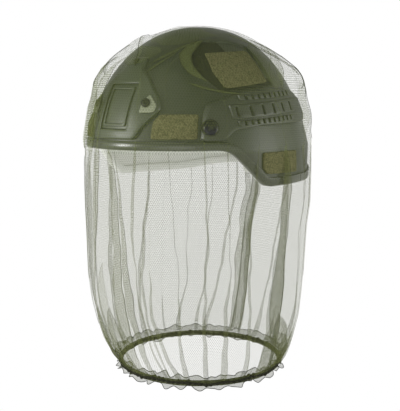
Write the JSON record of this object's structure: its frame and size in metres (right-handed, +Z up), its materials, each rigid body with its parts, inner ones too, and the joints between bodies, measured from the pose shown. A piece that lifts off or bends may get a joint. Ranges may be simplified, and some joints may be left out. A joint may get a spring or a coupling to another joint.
{
  "type": "beekeeping veil",
  "caption": "Insect-proof netting veil with a gathered elastic hem, worn over a hard high-cut helmet that holds the net clear of the face.",
  "frame": {"origin": "centre of the flat underside of the crown pad, where the wearer's head carries the object", "axes": "+Z up, -Y is the way the wearer looks, +X is the wearer's left"},
  "size_m": [0.234, 0.2785, 0.3745],
  "materials": {
    "shell_plastic": "olive moulded ABS, fine satin texture",
    "trim_rubber": "smooth olive rubber edging with a soft gloss",
    "loop_fabric": "olive hook-and-loop pile",
    "rail_plastic": "olive glass-filled nylon, satin",
    "plate_metal": "olive satin coating",
    "clamp_metal": "bare-edged grey-green coating",
    "screw_metal": "black oxide",
    "pad_fabric": "brushed grey knit over foam",
    "strap_plastic": "flexible grey-green plastic",
    "dial_plastic": "dark satin plastic",
    "netting": "fine open olive mesh",
    "elastic_webbing": "woven olive elastic"
  },
  "bodies": {
    "helmet": {"helmet_shell": "shell_plastic", "rim_trim": "trim_rubber", "brow_loop_patch_left": "loop_fabric", "brow_loop_patch_right": "loop_fabric", "crown_loop_patch_left": "loop_fabric", "crown_loop_patch_right": "loop_fabric", "nape_loop_patch_left": "loop_fabric", "nape_loop_patch_right": "loop_fabric", "side_rail_left": "rail_plastic", "side_rail_right": "rail_plastic", "rail_screw_left": "screw_metal", "rail_screw_right": "screw_metal", "rail_nut_left": "screw_metal", "rail_nut_right": "screw_metal", "shroud_plate": "plate_metal", "shroud_insert": "plate_metal", "shroud_clamp_left": "clamp_metal", "shroud_clamp_right": "clamp_metal", "wing_screw_left": "screw_metal", "wing_screw_right": "screw_metal", "wing_nut_left": "screw_metal", "wing_nut_right": "screw_metal", "lobe_screw": "screw_metal", "lobe_nut": "screw_metal", "crown_pad": "pad_fabric", "front_pad": "pad_fabric", "rear_pad": "pad_fabric", "temple_pad_left": "pad_fabric", "temple_pad_right": "pad_fabric", "side_pad_left": "pad_fabric", "side_pad_right": "pad_fabric", "head_band": "strap_plastic", "veil_crown_net": "netting", "veil_skirt_net": "netting"},
    "cradle": {"nape_cradle": "strap_plastic", "dial_housing": "strap_plastic"},
    "dial": {"fit_dial": "dial_plastic"},
    "hem": {"hem_channel": "netting", "hem_elastic": "elastic_webbing"}
  },
  "joints": [
    {"name": "hem_lift", "type": "slide", "parent": "helmet", "child": "hem", "axis": [0, 0, 1], "range_m": [0, 0.11], "deforming": ["veil_skirt_net"]},
    {"name": "cradle_draw", "type": "slide", "parent": "helmet", "child": "cradle", "axis": [0, -1, 0], "range_m": [0, 0.0062]},
    {"name": "dial_turn", "type": "hinge", "parent": "cradle", "child": "dial", "pos_m": [0, 0.117, -0.134], "axis": [0, 1, 0], "range_deg": [0, 360]}
  ],
  "couplings": [
    {"joint": "dial_turn", "follows": "cradle_draw", "rad_per_m": 1000}
  ]
}
